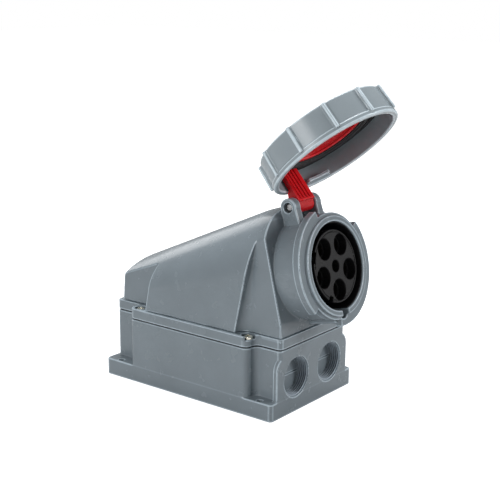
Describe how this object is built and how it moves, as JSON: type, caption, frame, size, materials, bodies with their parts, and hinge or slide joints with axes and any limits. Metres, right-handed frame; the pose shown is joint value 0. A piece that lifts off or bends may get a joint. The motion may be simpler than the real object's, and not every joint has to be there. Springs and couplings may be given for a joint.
{
  "type": "generator inlet box",
  "caption": "Surface-mounted five-pole power connector box: wiring base with two cable entries, sloping hood, angled round barrel and hinged bayonet lid.",
  "frame": {"origin": "centre of the flat mounting face under the base", "axes": "+Z out of the mounting face towards the hood, +X towards the connector's mouth and the cable entries, +Y across the box"},
  "size_m": [0.2911, 0.14, 0.3206],
  "materials": {
    "housing": "semi-gloss moulded blue-grey plastic",
    "ring": "semi-gloss moulded light blue-grey plastic",
    "lid": "semi-gloss moulded red plastic",
    "insert": "fine-grained black moulded plastic",
    "seal": "matt black rubber",
    "zinc": "yellowish zinc plate",
    "steel": "bright steel",
    "brass": "machined brass"
  },
  "bodies": {
    "housing": {"base_box": "housing", "cover_hood": "housing", "cover_seal": "seal", "insert_seal": "seal", "cover_screw_1": "zinc", "cover_screw_2": "zinc", "cover_screw_3": "zinc", "cover_screw_4": "zinc", "insert_screw_1": "steel", "insert_screw_2": "steel", "insert_screw_3": "steel", "insert_screw_4": "steel", "contact_insert": "insert", "contact_earth": "brass", "terminal_screw_earth": "steel", "contact_l1": "brass", "terminal_screw_l1": "steel", "contact_l2": "brass", "terminal_screw_l2": "steel", "contact_l3": "brass", "terminal_screw_l3": "steel", "contact_neutral": "brass", "terminal_screw_neutral": "steel", "pilot_contact": "brass", "hinge_pin": "steel", "pin_clip": "steel"},
    "lid": {"lid_plate": "lid", "lid_gasket": "seal", "ring_retainer": "seal"},
    "locking_ring": {"locking_ring": "ring"}
  },
  "joints": [
    {"name": "lid_hinge", "type": "hinge", "parent": "housing", "child": "lid", "pos_m": [0.09106, 0, 0.2005], "axis": [0, 1, 0], "range_deg": [0, 117.5]},
    {"name": "ring_turn", "type": "hinge", "parent": "lid", "child": "locking_ring", "pos_m": [0.13071, 0, 0.25393], "axis": [0.6574, 0, -0.7536], "range_deg": [0, 50]}
  ]
}
